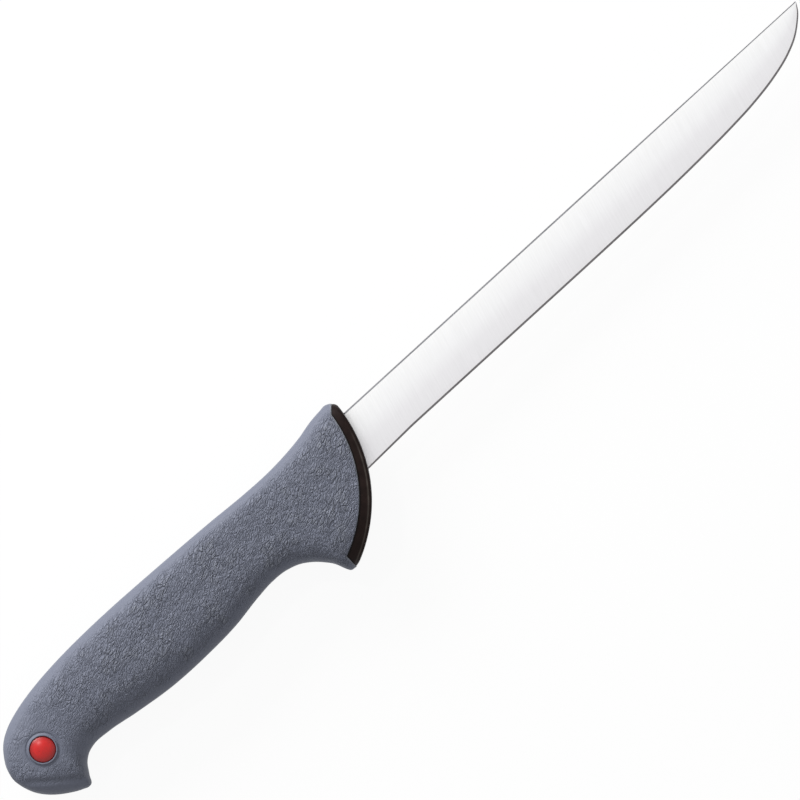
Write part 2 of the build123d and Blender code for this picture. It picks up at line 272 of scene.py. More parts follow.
def ring_faces(rows, columns):
    """Quads of a grid whose points are numbered row by row, joined round each row."""
    row, column = np.meshgrid(np.arange(rows - 1), np.arange(columns), indexing="ij")
    a = row * columns + column
    b = row * columns + (column + 1) % columns
    return np.stack([a, b, b + columns, a + columns], -1).reshape(-1, 4)


def blade_mesh():
    """Grid of sections from heel to tip: eased spine corners, flat ground sides, two bevels.

    Gives points, faces, the finish of each face and each point's share across the blade."""
    x, width, spine, edge, bevel = blade_outline()
    thinned = np.sqrt(spine / SPINE_THICKNESS)
    half = spine / 2
    ease = SPINE_EASE * thinned
    side = np.linspace(0, 1, SIDE_COLUMNS)[:, None]
    down = np.vstack([-SPINE_RISE * thinned, ease + (width - bevel - ease) * side])
    out = np.vstack([half - SPINE_EASE_DROP * thinned, half + (edge / 2 - half) * side])
    down = np.vstack([down, width, down[::-1]]).T
    out = np.vstack([out, 0 * x, -out[::-1]]).T
    rows, columns = down.shape
    points = np.stack([np.broadcast_to(x[:, None], down.shape), -down, out], -1)
    faces = ring_faces(rows, columns)
    # Slot 1 is the edge bevel and slot 2 the eased spine, both in steel painted darker as painted shade.
    finish = np.zeros(columns, int)
    finish[[columns // 2 - 1, columns // 2]] = 1
    finish[[0, columns - 2, columns - 1]] = 2
    ends = [np.arange(columns)[::-1], np.arange((rows - 1) * columns, rows * columns)]
    across = np.clip(down / width[:, None], 0, 1).reshape(-1)
    return points.reshape(-1, 3), [*faces, *ends], [*np.resize(finish, len(faces)), 0, 0], across


def tang_mesh():
    """Plain tapered strip that runs back inside the handle."""
    x = np.repeat(TANG_ENDS, 4)
    top = -np.repeat(TANG_DROPS, 4)
    width = np.repeat(TANG_WIDTHS, 4)
    low = np.tile([0, 1, 1, 0], 2)
    z = np.tile([1, 1, -1, -1], 2) * SPINE_THICKNESS / 2
    points = np.stack([x, top - width * low, z], -1)
    return points, [*ring_faces(2, 4), [3, 2, 1, 0], [4, 5, 6, 7]]


def satin_steel():
    """Stainless steel, belt ground across the blade: bright and even, with faint lines that lean, and a
    little greyer towards the edge, which is painted shade. The lines are drawn about 0.4 mm apart, coarser
    than the real grit, so that they show."""
    material = bpy.data.materials.new("satin_stainless_steel")
    material.use_nodes = True
    tree = material.node_tree
    shader = tree.nodes["Principled BSDF"]
    place = add(tree, "TexCoord").outputs["Object"]
    lean = add(tree, "Mapping", {"Vector": place, "Rotation": (0, 0, radians(BRUSH_LEAN))})
    across, along = 1 / (BRUSH_SPACING * MM), 1 / (BRUSH_LENGTH * MM)
    drawn = add(tree, "Mapping", {"Vector": lean.outputs[0], "Scale": (across, along, along)})
    grit = {"Vector": drawn.outputs[0], "Scale": 1.0, "Detail": 3.0, "Roughness": 0.6}
    lines = add(tree, "TexNoise", grit)
    tint = add(
        tree,
        "MapRange",
        {"Value": lines.outputs["Fac"], "From Min": 0.3, "From Max": 0.7, "To Min": 0.965, "To Max": 1.02},
    )
    # Painted shade: the colour greys from the spine towards the edge, read from the across attribute.
    share = add(tree, "Attribute", attribute_name="across")
    tone = add(tree, "ValToRGB", {"Fac": share.outputs["Fac"]})
    tone.color_ramp.elements[0].color = linear("f6f6f6")
    tone.color_ramp.elements[1].color = linear("e1e0e2")
    tone.color_ramp.elements.new(0.4).color = linear("eeeeef")
    tone.color_ramp.elements.new(0.65).color = linear("e5e4e6")
    shade = add(tree, "VectorMath", {0: tone.outputs["Color"], 3: tint.outputs[0]}, operation="SCALE")
    tree.links.new(shade.outputs[0], shader.inputs["Base Color"])
    bump = add(tree, "Bump", {"Height": lines.outputs["Fac"], "Strength": 0.12, "Distance": 0.02 * MM})
    tree.links.new(bump.outputs[0], shader.inputs["Normal"])
    shader.inputs["Metallic"].default_value = 1.0
    shader.inputs["Roughness"].default_value = 0.34
    return material


def facet_steel_painted_dark(name, tone, roughness):
    """Narrow facet of the same steel, stoned along the blade, in a greyer colour than the ground side:
    painted shade for the darker room that the facet reflects.
    """
    material = bpy.data.materials.new(name)
    material.use_nodes = True
    tree = material.node_tree
    shader = tree.nodes["Principled BSDF"]
    place = add(tree, "TexCoord").outputs["Object"]
    along = (1 / (BRUSH_LENGTH * MM), 1 / (BRUSH_SPACING * MM), 1 / (BRUSH_SPACING * MM))
    drawn = add(tree, "Mapping", {"Vector": place, "Scale": along})
    lines = add(tree, "TexNoise", {"Vector": drawn.outputs[0], "Scale": 1.0, "Detail": 2.0})
    tint = add(
        tree,
        "MapRange",
        {"Value": lines.outputs["Fac"], "From Min": 0.3, "From Max": 0.7, "To Min": 0.85, "To Max": 1.1},
    )
    shade = add(tree, "VectorMath", {0: linear(tone)[:3], 3: tint.outputs[0]}, operation="SCALE")
    tree.links.new(shade.outputs[0], shader.inputs["Base Color"])
    shader.inputs["Metallic"].default_value = 1.0
    shader.inputs["Roughness"].default_value = roughness
    return material


blade_points, blade_faces, blade_finish, blade_across = blade_mesh()
tang_points, tang_faces = tang_mesh()
blade = piece(
    "ground_blade",
    np.concatenate([blade_points, tang_points]),
    [*blade_faces, *[np.array(face) + len(blade_points) for face in tang_faces]],
    [
        satin_steel(),
        # Edge bevel and eased spine: steel in darker colours, painted shade.
        facet_steel_painted_dark("edge_bevel_steel_painted_dark", "6f6c6d", 0.25),
        facet_steel_painted_dark("eased_spine_steel_painted_dark", "747477", 0.2),
    ],
    [*blade_finish, *np.zeros(len(tang_faces), int)],
)
share = blade.data.attributes.new("across", "FLOAT", "POINT")
share.data.foreach_set("value", np.append(blade_across, np.zeros(len(tang_points))))
blade.data.set_sharp_from_angle(angle=radians(8.0))
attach(blade, "knife")
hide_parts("blade")


# Handle core: rigid black plastic moulded round the tang. Its front end is the collar, a band
# with a smooth, slightly glossy skin and a rounded front edge, a little lower than the grip.
HANDLE_LENGTH = 160.0
HANDLE_DEPTH = 46.0
HANDLE_THICKNESS = 21.0
REST_FLAT_DEPTH = 0.15
BUTT_ROUNDNESS = (2.8, 2.35)
GUARD_ROUNDNESS = (4.4, 2.8)
ROUNDNESS_X = (-110.0, -50.0)
TOP_SHARES = (
    (0.0, -0.342), (0.005, -0.238), (0.015, -0.173), (0.03, -0.107), (0.06, -0.037),
    (0.09, 0.002), (0.15, 0.049), (0.23, 0.081), (0.37, 0.097), (0.5, 0.089),
    (0.65, 0.072), (0.75, 0.055), (0.8, 0.054), (0.85, 0.065), (0.9, 0.089),
    (0.94, 0.12), (0.965, 0.13), (0.985, 0.133), (1.0, 0.102), (1.01, 0.066),
)
BOTTOM_SHARES = (
    (0.0, -0.342), (0.005, -0.447), (0.015, -0.521), (0.03, -0.585), (0.06, -0.667),
    (0.09, -0.722), (0.103, -0.737), (0.111, -0.727), (0.118, -0.681), (0.129, -0.616),
    (0.144, -0.568), (0.165, -0.54), (0.21, -0.541), (0.28, -0.577), (0.37, -0.611),
    (0.46, -0.613), (0.55, -0.593), (0.62, -0.553), (0.66, -0.539), (0.7, -0.549),
    (0.735, -0.595), (0.765, -0.682), (0.78, -0.747), (0.795, -0.852), (0.806, -0.863),
    (0.815, -0.866), (1.01, -0.866),
)
THICKNESS_SHARES = (
    (0.0, 0.44), (0.005, 0.66), (0.015, 0.78), (0.03, 0.835), (0.06, 0.85),
    (0.1, 0.86), (0.17, 0.9), (0.27, 0.97), (0.38, 1.0), (0.5, 0.965),
    (0.6, 0.89), (0.67, 0.855), (0.74, 0.875), (0.8, 0.94), (0.86, 0.99),
    (0.9, 1.0), (0.95, 0.98), (1.01, 0.93),
)
FRONT_RADIUS = 49.5
FRONT_RISE = 6.0
BAND_WIDTH = 4.4
BAND_SHIFT = np.array([1.1, 0.6])
BAND_END_X = -30.5
BAND_TOP_TURN = 5.0
BAND_TOP_ANGLE = 49.0
BAND_SINK = 0.3
BAND_TUCK = 0.9
COLLAR_ROUNDING = 0.8
SEAM_SHADE_WIDTH = 0.7
GLINT_INSET = 1.05
GLINT_WIDTH = 0.22
GLINT_TOP = -4.0
GLINT_FADE = 10.0
CLOUD_SIZE = 2.381
COLUMNS = 260
TURN_SAMPLES = 2000
COLLAR_ROWS = 28
COLLAR_EDGE_TURNS = np.radians(np.linspace(12, 90, 8))
FRONT_SEARCH = np.linspace(-40.0, 1.5, 1600)


def smooth_at(shares, place):
    """Smooth curve through (place, value) pairs, read at an array of places.

    Between two pairs it is a cubic whose slope at each pair is the mean across its two
    neighbours. Places count by their square root, which makes the butt end round."""
    places, values = np.array(shares).T
    roots = np.sqrt(places)
    slopes = np.gradient(values, roots)
    root = np.sqrt(place)
    first = np.clip(np.searchsorted(roots, root, side="right") - 1, 0, len(roots) - 2)
    step = roots[first + 1] - roots[first]
    t = (root - roots[first]) / step
    value = values[first] + (values[first + 1] - values[first]) * t * t * (3 - 2 * t)
    return value + step * t * (1 - t) * (slopes[first] * (1 - t) - slopes[first + 1] * t)


def handle_sizes(x):
    """Middle height, half height and half thickness of the handle at X."""
    place = 1 + x / HANDLE_LENGTH
    top = smooth_at(TOP_SHARES, place) * HANDLE_DEPTH
    bottom = smooth_at(BOTTOM_SHARES, place) * HANDLE_DEPTH
    half = smooth_at(THICKNESS_SHARES, place) * (HANDLE_THICKNESS / 2 + REST_FLAT_DEPTH)
    return (top + bottom) / 2, (top - bottom) / 2, half


def roundness(x, side):
    """Power of the superellipse section: one above its middle and one below, where side is
    negative, both growing from the butt to the guard, where the section is squarer."""
    blend = np.clip((x - ROUNDNESS_X[0]) / (ROUNDNESS_X[1] - ROUNDNESS_X[0]), 0, 1)
    (top, bottom), (guard_top, guard_bottom) = BUTT_ROUNDNESS, GUARD_ROUNDNESS
    above, below = top + (guard_top - top) * blend, bottom + (guard_bottom - bottom) * blend
    return np.where(side > 0, above, below)


def handle_skin(x, turn, sink=0.0):
    """Point on the handle's skin at X and a turn round it from the spine's side, taken in by
    sink. The section is a superellipse, read along rays through an ellipse's points."""
    middle, rise, half = handle_sizes(x)
    across, out = np.cos(turn), np.sin(turn)
    power = roundness(x, across)
    reach = (np.abs(across) ** power + np.abs(out) ** power) ** (-1 / power)
    y = middle + (rise - sink) * across * reach
    limit = HANDLE_THICKNESS / 2 - sink
    z = np.clip((half - sink) * out * reach, -limit, limit)
    return np.stack(np.broadcast_arrays(x, y, z), -1)


def even_turns(count):
    """Turns that space points evenly round a middle section of the handle."""
    fine = np.linspace(0, np.pi, TURN_SAMPLES)
    line = handle_skin(np.full_like(fine, -HANDLE_LENGTH / 2), fine)[:, 1:]
    length = np.concatenate([[0], np.cumsum(np.linalg.norm(np.diff(line, axis=0), axis=1))])
    half = np.interp(np.linspace(0, length[-1], count // 2 + 1), length, fine)
    return np.concatenate([half, 2 * np.pi - half[-2:0:-1]])


FRONT_CENTRE = np.array([-np.sqrt(FRONT_RADIUS**2 - FRONT_RISE**2), FRONT_RISE])
BAND_CENTRE = FRONT_CENTRE + BAND_SHIFT
BAND_RADIUS = FRONT_RADIUS - BAND_WIDTH
BAND_TOP = BAND_CENTRE + BAND_RADIUS * np.array(
    [np.cos(radians(BAND_TOP_TURN)), -np.sin(radians(BAND_TOP_TURN))]
)


def past_front(x, y):
    """How far a point lies in front of the handle's front arc."""
    return np.hypot(x - FRONT_CENTRE[0], y - FRONT_CENTRE[1]) - FRONT_RADIUS


def into_band(x, y):
    """How deep a point lies in the collar's region, below zero outside it."""
    arc = np.hypot(x - BAND_CENTRE[0], y - BAND_CENTRE[1]) - BAND_RADIUS
    slope = radians(BAND_TOP_ANGLE)
    below = (x - BAND_TOP[0]) * np.sin(slope) - (y - BAND_TOP[1]) * np.cos(slope)
    return np.minimum(np.minimum(arc, x - BAND_END_X), below)


def where_skin_ends(turns, sink, depth):
    """X at which the skin along each turn first has a depth above zero."""
    skin = handle_skin(FRONT_SEARCH[None, :], turns[:, None], sink)
    deep = depth(skin[..., 0], skin[..., 1])
    last = np.argmax(deep > 0, axis=1)
    rows = np.arange(len(turns))
    before, after = deep[rows, last - 1], deep[rows, last]
    step = FRONT_SEARCH[last] - FRONT_SEARCH[last - 1]
    return FRONT_SEARCH[last - 1] + step * before / (before - after)


def grip_end(x, y):
    """Depth past the grip's front: in the collar's region or in front of the front arc."""
    return np.maximum(into_band(x, y), past_front(x, y))


def end_cap(first, columns):
    """Quads that close a ring of a grid straight across, from side to mirrored side. The ones
    at the ring's top and bottom name a corner twice."""
    near = first + np.arange(columns // 2)
    far = first + (-np.arange(columns // 2)) % columns
    next_far = first + (-np.arange(1, columns // 2 + 1)) % columns
    return np.stack([near, near + 1, next_far, far], -1)


def collar_mesh(turns):
    """Band from under the grip's lip to the front arc, with a rounded front edge.

    Its tone grows from 0, painted shade in the seam under the lip, to a half, and by a bell curve to 1, a
    painted highlight line near the front edge."""
    back = where_skin_ends(turns, 0.0, grip_end) - BAND_TUCK
    front = where_skin_ends(turns, BAND_SINK, past_front)
    rows = []
    for share in np.linspace(0, 1, COLLAR_ROWS):
        rows.append((back + (front - COLLAR_ROUNDING - back) * share, BAND_SINK))
    for turn in COLLAR_EDGE_TURNS:
        sink = BAND_SINK + COLLAR_ROUNDING * (1 - np.cos(turn))
        end = where_skin_ends(turns, sink, past_front)
        rows.append((end - COLLAR_ROUNDING * (1 - np.sin(turn)), sink))
    points = np.concatenate([handle_skin(x, turns, sink) for x, sink in rows])
    faces = ring_faces(len(rows), len(turns))
    x, y = points[:, 0], points[:, 1]
    # Painted shade in the seam under the grip's lip, and a painted highlight line near the front edge that
    # fades out towards the top.
    seam = np.clip(into_band(x, y) / SEAM_SHADE_WIDTH, 0, 1)
    glint = np.exp(-(((past_front(x, y) + GLINT_INSET) / GLINT_WIDTH) ** 2))
    glint = glint * np.clip((GLINT_TOP - y) / GLINT_FADE, 0, 1)
    back_cap = end_cap(0, len(turns))[:, ::-1]
    front_cap = end_cap((len(rows) - 1) * len(turns), len(turns))
    return points, [*faces, *back_cap, *front_cap], (seam + glint) / 2


def collar_plastic():
    """Black moulded polypropylene, smooth, with a soft gloss and a very slight brown. It has painted shade
    in the seam under the grip's lip and a painted highlight line near its front edge."""
    material = bpy.data.materials.new("moulded_black_plastic")
    material.use_nodes = True
    tree = material.node_tree
    shader = tree.nodes["Principled BSDF"]
    place = add(tree, "TexCoord").outputs["Object"]
    cloud = add(tree, "TexNoise", {"Vector": place, "Scale": 1 / (CLOUD_SIZE * MM), "Detail": 4.0})
    share = add(tree, "Attribute", attribute_name="tone")
    tone = add(tree, "ValToRGB", {"Fac": share.outputs["Fac"]})
    # 020203 is painted shade for the seam, 1e1513 the band's own colour and 443e3a a painted highlight near
    # the front edge.
    tone.color_ramp.elements[0].color = linear("020203")
    tone.color_ramp.elements[1].color = linear("443e3a")
    tone.color_ramp.elements.new(0.5).color = linear("1e1513")
    tint = add(
        tree,
        "MapRange",
        {"Value": cloud.outputs["Fac"], "From Min": 0.3, "From Max": 0.7, "To Min": 0.7, "To Max": 1.3},
    )
    shade = add(tree, "VectorMath", {0: tone.outputs["Color"], 3: tint.outputs[0]}, operation="SCALE")
    tree.links.new(shade.outputs[0], shader.inputs["Base Color"])
    bump = add(tree, "Bump", {"Height": cloud.outputs["Fac"], "Strength": 0.1, "Distance": 0.05 * MM})
    tree.links.new(bump.outputs[0], shader.inputs["Normal"])
    shader.inputs["Roughness"].default_value = 0.5
    shader.inputs["Specular IOR Level"].default_value = 0.08
    return material


turns = even_turns(COLUMNS)
collar_points, collar_faces, collar_shade_and_glint = collar_mesh(turns)
collar = piece("black_collar", collar_points, collar_faces, [collar_plastic()])
tone = collar.data.attributes.new("tone", "FLOAT", "POINT")
tone.data.foreach_set("value", collar_shade_and_glint)
collar.data.set_sharp_from_angle(angle=radians(40.0))
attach(collar, "knife")
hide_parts("handle_core")


# Soft grip: blue-grey elastomer moulded over the core in a mould with a leather grain. It is
# smooth and rounded at its front lip, and a groove and a thin raised ring run round the recess
# of each button half.
BUTTON_X = (0.089 - 1) * HANDLE_LENGTH
BUTTON_Y = -0.318 * HANDLE_DEPTH
RECESS_RADIUS = 4.42
RECESS_DEPTH = 0.9
BORE_RADIUS = 3.15
RECESS_ROUNDING = 0.12
RING_FOOT = 6.0
RING_RADIUS = 5.0
RING_WALL = 0.2
RING_HEIGHT = 0.5
RING_HIGHLIGHT = 0.45
GROOVE_RADIUS = 5.4
GROOVE_WIDTH = 0.3
GROOVE_DEPTH = 0.25
LIP_ROUNDING = 0.2
LIP_DEPTH = 0.9
PATCH_HALF = 7.2
SHARED_END_X = -36.0
BUTT_FLAT_SHARE = 0.0006
ROW_SAMPLES = 6000
ROWS_SHARED = 270
ROWS_FRONT = 74
LIP_TURNS = np.radians([22, 45, 68, 90])
MORPH_RINGS = 5
RING_STEPS = 13
RIM_TURNS = np.radians([30, 60, 90])
GRAIN_ANGLE = 30.0
GRAIN_SEED = 11
BEND_SIZE = 5.0
BEND_SWING = 1.6
STROKE_SIZE = (1.5, 0.42, 0.42)
CELL_SIZE = (1.9, 0.62, 0.62)
VEIN_SIZE = (4.4, 1.4, 1.4)
VEIN_PATCH_SIZE = 5.5
VEIN_PATCH = (0.42, 0.62)
STROKE_SHARE = 0.85
CELL_SHARE = 0.75
VEIN_SHARE = 1.4
CELL_WALL = 0.22
VEIN_WALL = 0.12
GRAIN_DEPTH = 0.36
CRACK_SIZE = (5.2, 2.4, 2.4)
CRACK_DEPTH = 0.13
CRACK_EDGE = 0.3
CRACK_BENDS = ((1.6, 3.1, 0.0), (5.0, 13.0, 7.0))
CRACK_PATCH_SIZE = 3.7
CRACK_PATCH_SHIFT = 3.0
CRACK_PATCH_START = 0.42
CRACK_PATCH_SPAN = 0.2
SMOOTH_TOP = (0.5, 5.0)
SMOOTH_BOTTOM = (0.6, 4.0)
SMOOTH_LIP = 1.0
SMOOTH_BUTTON = (8.0, 26.0)
BUTTON_GRAIN = 0.4
LIP_HIGHLIGHT_WIDTH = 0.7
LIP_HIGHLIGHT = 4.0
SHADE_AND_HIGHLIGHT_RANGE = 4.0
FOLD_ENDS = ((-158.6, -17.9), (-140.9, -32.3))
FOLD_WIDTH = 1.1
FOLD_RUN_OUT = 3.0
FOLD_DEPTH = 0.45
FOLD_GRAIN = 0.25
FOLD_FADE = 2.0
dice = np.random.default_rng(GRAIN_SEED).random((8192, 3))


def dice_at(cells):
    """Three fixed random numbers for each whole-numbered cell."""
    i, j, k = (cells[..., axis].astype(np.int64) for axis in range(3))
    return dice[((i * 73856093) ^ (j * 19349663) ^ (k * 83492791)) % len(dice)]


def waves(points):
    """Smooth random numbers from 0 to 1: each cell's corners are blended."""
    base = np.floor(points)
    inside = points - base
    inside = inside * inside * (3 - 2 * inside)
    total = 0.0
    for corner in np.ndindex(2, 2, 2):
        weight = np.prod(np.where(corner, inside, 1 - inside), axis=-1)
        total = total + weight[..., None] * dice_at(base + corner)
    return total


def creases(points):
    """Height of a skin of cells: 1 on each cell and 0 in the crease between two.

    It is the distance to the second nearest random point less that to the nearest."""
    base = np.floor(points)
    nearest = np.full(points.shape[:-1], 9.0)
    second = nearest.copy()
    for shift in np.ndindex(3, 3, 3):
        cell = base + shift - np.ones(3)
        away = np.linalg.norm(cell + dice_at(cell) - points, axis=-1)
        second = np.minimum(second, np.maximum(nearest, away))
        nearest = np.minimum(nearest, away)
    gap = np.clip((second - nearest) / CRACK_EDGE, 0, 1)
    return gap * gap * (3 - 2 * gap)


def cracks(points):
    """Height of the large cracks, from -1 in a crack to 0, at points in millimetres.

    They are the borders of long random cells, bent by slow waves and shown in patches."""
    angle = radians(GRAIN_ANGLE)
    turn = np.array([[np.cos(angle), np.sin(angle), 0], [-np.sin(angle), np.cos(angle), 0], [0, 0, 1]])
    bent = points
    for swing, size, shift in CRACK_BENDS:
        bent = bent + swing * (waves(points / size + shift) - 0.5)
    large = creases(bent @ turn.T / CRACK_SIZE)
    patch = waves(points / CRACK_PATCH_SIZE + CRACK_PATCH_SHIFT)[..., 0]
    return (large - 1) * np.clip((patch - CRACK_PATCH_START) / CRACK_PATCH_SPAN, 0, 1)


def fold_place(points):
    """How far a point lies inside the fold's two ends, and above the line between them."""
    start, end = np.array(FOLD_ENDS)
    length = np.linalg.norm(end - start)
    along, across = (end - start) / length, np.array([start[1] - end[1], end[0] - start[0]]) / length
    at = (points[..., :2] - start) @ along
    return np.minimum(at, length - at), (points[..., :2] - start) @ across


def fold(points):
    """Height of the soft fold near the butt's end, from -1 on its line to 0 away from it."""
    inside, above = fold_place(points)
    return -np.exp(-((above / FOLD_WIDTH) ** 2)) * np.clip(inside / FOLD_RUN_OUT, 0, 1)


def even_rows(count):
    """X of rows from the butt to where the front rows begin, evenly spaced along whichever
    outline, top or bottom, is longer at each place."""
    end = 1 + SHARED_END_X / HANDLE_LENGTH
    place = np.linspace(np.sqrt(BUTT_FLAT_SHARE), np.sqrt(end), ROW_SAMPLES) ** 2
    x = (place - 1) * HANDLE_LENGTH
    middle, rise = handle_sizes(x)[:2]
    steps = [np.hypot(np.diff(x), np.diff(line)) for line in (middle + rise, middle - rise)]
    length = np.concatenate([[0], np.cumsum(np.maximum(*steps))])
    return np.interp(np.linspace(0, length[-1], count), length, x)


def skin_height(x, y):
    """Z of the upper skin above a point of the middle plane."""
    middle, rise, half = handle_sizes(x)
    across = np.clip(np.abs(y - middle) / rise, 0, 1)
    power = roundness(x, y - middle)
    return np.minimum(half * (1 - across**power) ** (1 / power), HANDLE_THICKNESS / 2)


def skin_normals(rows):
    """Outward normals of a grid of points, from the slopes along its rows and columns."""
    down = np.gradient(rows, axis=0)
    around = np.roll(rows, -1, axis=1) - np.roll(rows, 1, axis=1)
    normal = np.cross(around, down)
    length = np.linalg.norm(normal, axis=-1, keepdims=True)
    return normal / np.maximum(length, 1e-9)


def grip_rows(turns):
    """Grid of the grip's skin from the butt to the lip, and X of the lip at each turn."""
    end = where_skin_ends(turns, 0.0, grip_end)
    shared = even_rows(ROWS_SHARED)
    rows = [handle_skin(np.full_like(turns, x), turns) for x in shared]
    share = np.linspace(0, 1, ROWS_FRONT + 1)[1:]
    stop = end - LIP_ROUNDING
    rows += [handle_skin(SHARED_END_X + (stop - SHARED_END_X) * s, turns) for s in share]
    for turn in LIP_TURNS:
        sink = LIP_ROUNDING * (1 - np.cos(turn))
        rows.append(handle_skin(end - LIP_ROUNDING * (1 - np.sin(turn)), turns, sink))
    rows.append(handle_skin(end, turns, LIP_DEPTH))
    return np.array(rows), end


def patch_block(rows):
    """First and last row and column of the block of the grid that the recess replaces."""
    x = rows[:ROWS_SHARED, 0, 0]
    row = np.flatnonzero(np.abs(x - BUTTON_X) < PATCH_HALF)
    middle = row[len(row) // 2]
    y = rows[middle, : rows.shape[1] // 2, 1]
    column = np.flatnonzero(np.abs(y - BUTTON_Y) < PATCH_HALF)
    return row[0], row[-1], column[0], column[-1]


def block_loop(first_row, last_row, first_column, last_column):
    """Grid places round the block's border, in order."""
    rows, columns = np.arange(first_row, last_row), np.arange(first_column, last_column)
    one = [(first_row, c) for c in columns]
    two = [(r, last_column) for r in rows]
    three = [(last_row, c) for c in columns[::-1] + 1]
    four = [(r, first_column) for r in rows[::-1] + 1]
    return np.array(one + two + three + four)


def grip_mesh(turns):
    """Skin, lip rows, recesses and bore in one closed mesh, with each point's share of grain and of painted
    highlight.
    """
    rows, end = grip_rows(turns)
    row_count, column_count = rows.shape[:2]
    normals = skin_normals(rows)
    first_row, last_row, first_column, last_column = patch_block(rows)
    loop = block_loop(first_row, last_row, first_column, last_column)
    mirrored = np.stack([loop[:, 0], (-loop[:, 1]) % column_count], -1)

    number = np.arange(row_count * column_count).reshape(row_count, column_count)
    grid = ring_faces(row_count, column_count).reshape(row_count - 1, column_count, 4)
    kept = np.ones((row_count - 1, column_count), bool)
    kept[first_row:last_row, first_column:last_column] = False
    kept[first_row:last_row, column_count - last_column : column_count - first_column] = False
    faces = [grid[kept]]

    base = [rows.reshape(-1, 3)]
    outward = [normals.reshape(-1, 3)]
    border = [grain_share(rows, end).reshape(-1)]
    # Painted highlight: the last 0.7 mm of skin before the lip is lighter, where its rounding catches
    # light.
    painted_highlights = [np.clip(1 - (end[None, :] - rows[..., 0]) / LIP_HIGHLIGHT_WIDTH, 0, 1).reshape(-1)]
    start = row_count * column_count
    loops = []
    for side, places in ((1, loop), (-1, mirrored)):
        edge = rows[places[:, 0], places[:, 1]]
        rings, fades, ring_highlights = recess_rings(edge, side)
        count = len(edge)
        base.append(rings.reshape(-1, 3))
        border.append(np.repeat(fades, count))
        painted_highlights.append(np.repeat(ring_highlights, count))
        tilt = np.zeros((*rings.shape[:2], 3))
        tilt[..., 2] = side
        outward.append(tilt.reshape(-1, 3))
        ids = np.concatenate(
            [[number[places[:, 0], places[:, 1]]], start + np.arange(rings[..., 0].size).reshape(-1, count)]
        )
        start += rings[..., 0].size
        quads = np.stack(
            [ids[:-1], np.roll(ids[:-1], -1, 1), np.roll(ids[1:], -1, 1), ids[1:]], -1
        ).reshape(-1, 4)
        faces.append(quads if side > 0 else quads[:, ::-1])
        loops.append(ids[-1])
    top, low = loops
    faces.append(np.stack([np.roll(top, -1), np.roll(low, -1), low, top], -1))
    faces.append(end_cap(0, column_count)[:, ::-1])
    faces.append(end_cap((row_count - 1) * column_count, column_count))

    points = np.concatenate(base)
    fade = np.concatenate(border)
    sink = cracks(points) * CRACK_DEPTH * fade + fold(points) * FOLD_DEPTH
    points = points + np.concatenate(outward) * sink[:, None]
    return points, np.concatenate(faces), fade, np.concatenate(painted_highlights)


def grain_share(rows, end):
    """Share of the grain at each grid point: none at the lip, the spine side and the bottom,
    and less of it round the button and below the fold."""
    middle, rise = handle_sizes(rows[..., 0])[:2]
    from_lip = (end[None, :] - rows[..., 0]) / SMOOTH_LIP
    from_top = (middle + rise - rows[..., 1] - SMOOTH_TOP[0]) / (SMOOTH_TOP[1] - SMOOTH_TOP[0])
    from_bottom = rows[..., 1] - middle + rise - SMOOTH_BOTTOM[0]
    from_bottom = from_bottom / (SMOOTH_BOTTOM[1] - SMOOTH_BOTTOM[0])
    share = np.clip(np.minimum(np.minimum(from_lip, from_top), from_bottom), 0, 1)
    away = np.hypot(rows[..., 0] - BUTTON_X, rows[..., 1] - BUTTON_Y)
    clear = np.clip((away - SMOOTH_BUTTON[0]) / (SMOOTH_BUTTON[1] - SMOOTH_BUTTON[0]), 0, 1)
    above = np.clip(fold_place(rows)[1] / FOLD_FADE + 0.5, 0, 1)
    less = (BUTTON_GRAIN + (1 - BUTTON_GRAIN) * clear) * (FOLD_GRAIN + (1 - FOLD_GRAIN) * above)
    return share * share * (3 - 2 * share) * less


def recess_rings(edge, side):
    """Rings from the block's border to the bore, with each ring's share of grain and of painted highlight.

    The first ones turn the border into a circle on the skin. Then come the groove, a bell
    curve deep, the raised ring with its rounded rim, and the recess's floor and the bore."""
    x, y = edge[:, 0] - BUTTON_X, edge[:, 1] - BUTTON_Y
    angle = np.arctan2(y, x)
    circle = np.stack([np.cos(angle), np.sin(angle)], -1)
    centre = np.array([BUTTON_X, BUTTON_Y])
    rim = RECESS_RADIUS + RECESS_ROUNDING
    plans = []
    for share in np.linspace(0, 1, MORPH_RINGS + 1)[1:]:
        flat = centre + (np.stack([x, y], -1) * (1 - share) + circle * RING_FOOT * share)
        plans.append((flat, 0.0, BUTTON_GRAIN * (1 - share)))
    for radius in np.linspace(RING_FOOT, rim, RING_STEPS + 1)[1:]:
        up = np.clip((RING_RADIUS - radius) / RING_WALL, 0, 1)
        groove = GROOVE_DEPTH * np.exp(-(((radius - GROOVE_RADIUS) / GROOVE_WIDTH) ** 2))
        plans.append((centre + circle * radius, RING_HEIGHT * up * up * (3 - 2 * up) - groove, 0.0))
    for turn in RIM_TURNS:
        radius = rim - RECESS_ROUNDING * np.sin(turn)
        plans.append((centre + circle * radius, RING_HEIGHT - RECESS_ROUNDING * (1 - np.cos(turn)), 0.0))
    rings, fades, ring_highlights = [], [], []
    for flat, rise, fade in plans:
        rings.append(np.column_stack([flat, side * (skin_height(flat[:, 0], flat[:, 1]) + rise)]))
        fades.append(fade)
        # Painted highlight on the raised ring, lighter the higher it stands.
        ring_highlights.append(RING_HIGHLIGHT * max(rise, 0.0) / RING_HEIGHT)
    seat = skin_height(np.array([BUTTON_X]), np.array([BUTTON_Y]))[0] - RECESS_DEPTH
    for radius in (RECESS_RADIUS, BORE_RADIUS):
        flat = centre + circle * radius
        rings.append(np.column_stack([flat, np.full(len(flat), side * seat)]))
        fades.append(0.0)
        ring_highlights.append(0.0)
    return np.array(rings), fades, ring_highlights


